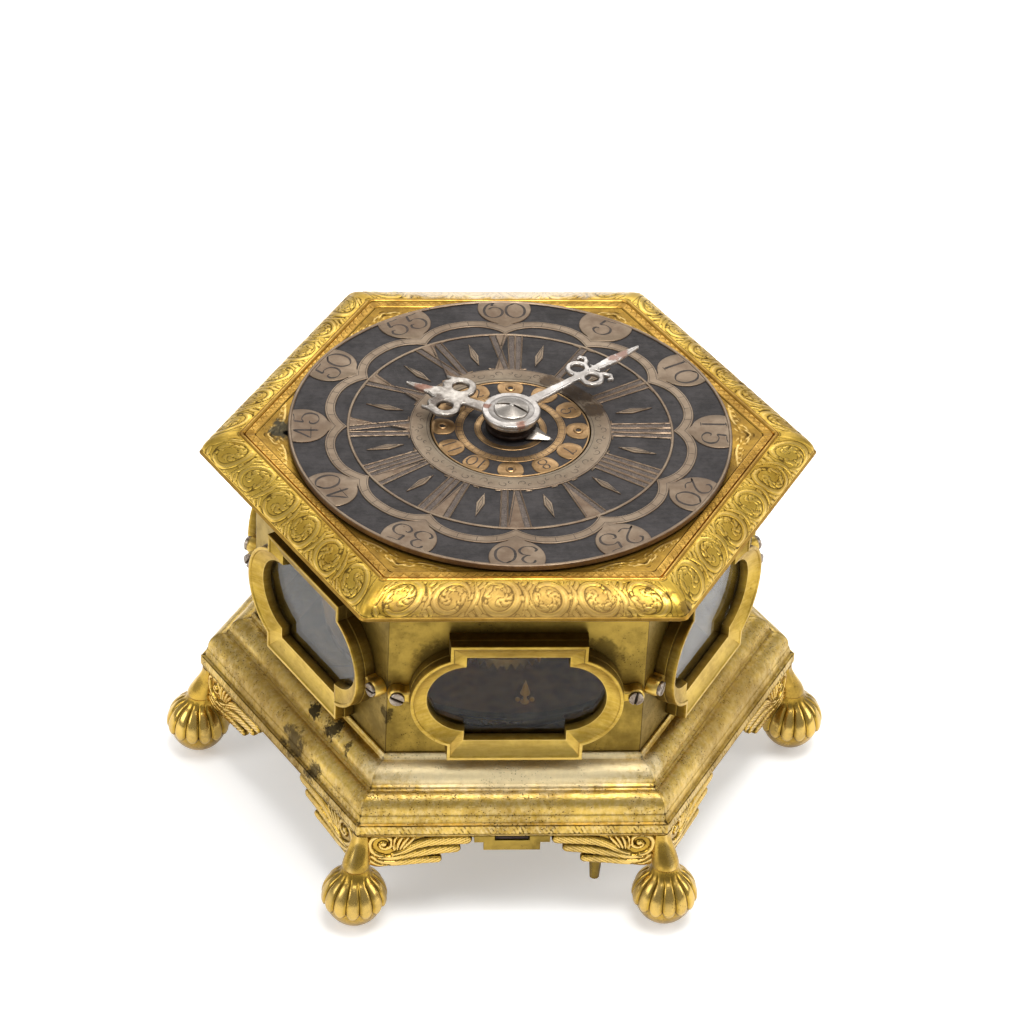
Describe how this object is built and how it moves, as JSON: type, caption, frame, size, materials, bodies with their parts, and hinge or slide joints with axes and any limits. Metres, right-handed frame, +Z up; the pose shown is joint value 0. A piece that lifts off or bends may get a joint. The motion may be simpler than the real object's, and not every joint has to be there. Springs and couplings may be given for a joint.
{
  "type": "table clock",
  "caption": "Horizontal hexagonal gilt table clock with a silvered dial on top, two steel hands, glazed sides, ball feet, and a verge movement with alarm and bell inside.",
  "frame": {"origin": "on the floor under the middle of the dial", "axes": "+Z up through the dial, -Y towards the front side with the catch, +Y towards the hinge and the dial's 60"},
  "size_m": [0.1664, 0.1462, 0.1071],
  "materials": {
    "gilt_brass": "engraved and worn gilding",
    "pale_gilt_brass": "satin",
    "dial_silver": "silvered pads on a matted dark ground",
    "dial_copper": "satin",
    "window_glass": "clear",
    "movement_brass": "polished",
    "bell_metal": "turned",
    "steel": "polished, with some rust"
  },
  "bodies": {
    "base": {"bottom_plate": "gilt_brass", "hinge_pin": "steel", "catch_plate": "gilt_brass", "bell": "bell_metal", "bell_stand": "steel", "foot_right": "gilt_brass", "foot_back_right": "gilt_brass", "foot_back_left": "gilt_brass", "foot_left": "gilt_brass", "foot_front_left": "gilt_brass", "foot_front_right": "gilt_brass"},
    "latch": {"catch_bolt": "steel"},
    "case": {"base_moulding": "gilt_brass", "case_walls": "gilt_brass", "top_frame": "gilt_brass", "dial_plate": "gilt_brass", "chapter_disc": "dial_silver", "bezel_back_right": "pale_gilt_brass", "bezel_back": "pale_gilt_brass", "bezel_back_left": "pale_gilt_brass", "bezel_front_left": "pale_gilt_brass", "bezel_front": "pale_gilt_brass", "bezel_front_right": "pale_gilt_brass", "glass_back_right": "window_glass", "glass_back": "window_glass", "glass_back_left": "window_glass", "glass_front_left": "window_glass", "glass_front": "window_glass", "glass_front_right": "window_glass", "screw_back_right_left": "steel", "screw_back_right_right": "steel", "screw_back_left": "steel", "screw_back_right": "steel", "screw_back_left_left": "steel", "screw_back_left_right": "steel", "screw_front_left_left": "steel", "screw_front_left_right": "steel", "screw_front_left": "steel", "screw_front_right": "steel", "screw_front_right_left": "steel", "screw_front_right_right": "steel", "pillar_plate": "movement_brass", "top_plate": "movement_brass", "fusee_chain": "steel", "balance_cock": "movement_brass"},
    "centre": {"centre_wheel": "movement_brass"},
    "minute": {"cannon_pinion": "steel", "minute_hand": "steel", "hand_screw": "steel"},
    "hour": {"hour_wheel": "movement_brass", "hour_hand": "steel"},
    "motion": {"minute_wheel": "movement_brass"},
    "alarm": {"alarm_disc": "dial_copper"},
    "third": {"third_wheel": "movement_brass"},
    "contrate": {"contrate_wheel": "movement_brass"},
    "crown": {"crown_wheel": "movement_brass"},
    "fusee": {"fusee": "movement_brass"},
    "barrel": {"barrel": "movement_brass"},
    "balance": {"balance": "movement_brass"},
    "hammer": {"alarm_hammer": "steel"}
  },
  "joints": [
    {"name": "case_hinge", "type": "hinge", "parent": "base", "child": "case", "pos_m": [0, 0.0662, 0.02605], "axis": [-1, 0, 0], "range_deg": [0, 90]},
    {"name": "latch_slide", "type": "slide", "parent": "base", "child": "latch", "axis": [0, 1, 0], "range_m": [0, 0.0015], "stiffness_N_per_m": 60, "springref_m": -0.001},
    {"name": "minute_turn", "type": "hinge", "parent": "case", "child": "minute", "pos_m": [0, 0, 0.105], "axis": [0, 0, 1], "continuous": true},
    {"name": "hour_turn", "type": "hinge", "parent": "case", "child": "hour", "pos_m": [0, 0, 0.103], "axis": [0, 0, 1], "continuous": true},
    {"name": "motion_turn", "type": "hinge", "parent": "case", "child": "motion", "pos_m": [-0.01128, -0.00411, 0.088], "axis": [0, 0, 1], "continuous": true},
    {"name": "alarm_set", "type": "hinge", "parent": "hour", "child": "alarm", "pos_m": [0, 0, 0.099], "axis": [0, 0, 1], "continuous": true},
    {"name": "fusee_turn", "type": "hinge", "parent": "case", "child": "fusee", "pos_m": [-0.01558, 0.009, 0.06], "axis": [0, 0, 1], "continuous": true},
    {"name": "barrel_turn", "type": "hinge", "parent": "case", "child": "barrel", "pos_m": [0.01905, 0.011, 0.06], "axis": [0, 0, 1], "continuous": true},
    {"name": "centre_turn", "type": "hinge", "parent": "case", "child": "centre", "pos_m": [0, 0, 0.06], "axis": [0, 0, 1], "continuous": true},
    {"name": "third_turn", "type": "hinge", "parent": "case", "child": "third", "pos_m": [0.00784, -0.01358, 0.06], "axis": [0, 0, 1], "continuous": true},
    {"name": "contrate_turn", "type": "hinge", "parent": "case", "child": "contrate", "pos_m": [-0.0013, -0.02571, 0.06], "axis": [0, 0, 1], "continuous": true},
    {"name": "crown_turn", "type": "hinge", "parent": "case", "child": "crown", "pos_m": [-0.0013, -0.02571, 0.05447], "axis": [-0.1736, 0.9848, 0], "continuous": true},
    {"name": "balance_swing", "type": "hinge", "parent": "case", "child": "balance", "pos_m": [-0.00505, -0.00444, 0.045], "axis": [0, 0, 1], "range_deg": [-50, 50], "stiffness_Nm_per_rad": 0.00003},
    {"name": "hammer_swing", "type": "hinge", "parent": "case", "child": "hammer", "pos_m": [-0.02, -0.02, 0.044], "axis": [0, 0, 1], "range_deg": [-12, 10], "stiffness_Nm_per_rad": 0.0002}
  ],
  "couplings": [
    {"joint": "motion_turn", "follows": "minute_turn", "ratio": -0.33333},
    {"joint": "hour_turn", "follows": "minute_turn", "ratio": 0.083333},
    {"joint": "crown_turn", "follows": "contrate_turn", "ratio": -6},
    {"joint": "third_turn", "follows": "contrate_turn", "ratio": -0.16667},
    {"joint": "centre_turn", "follows": "contrate_turn", "ratio": 0.027778},
    {"joint": "fusee_turn", "follows": "contrate_turn", "ratio": -0.0069444},
    {"joint": "barrel_turn", "follows": "contrate_turn", "ratio": -0.0069444}
  ]
}
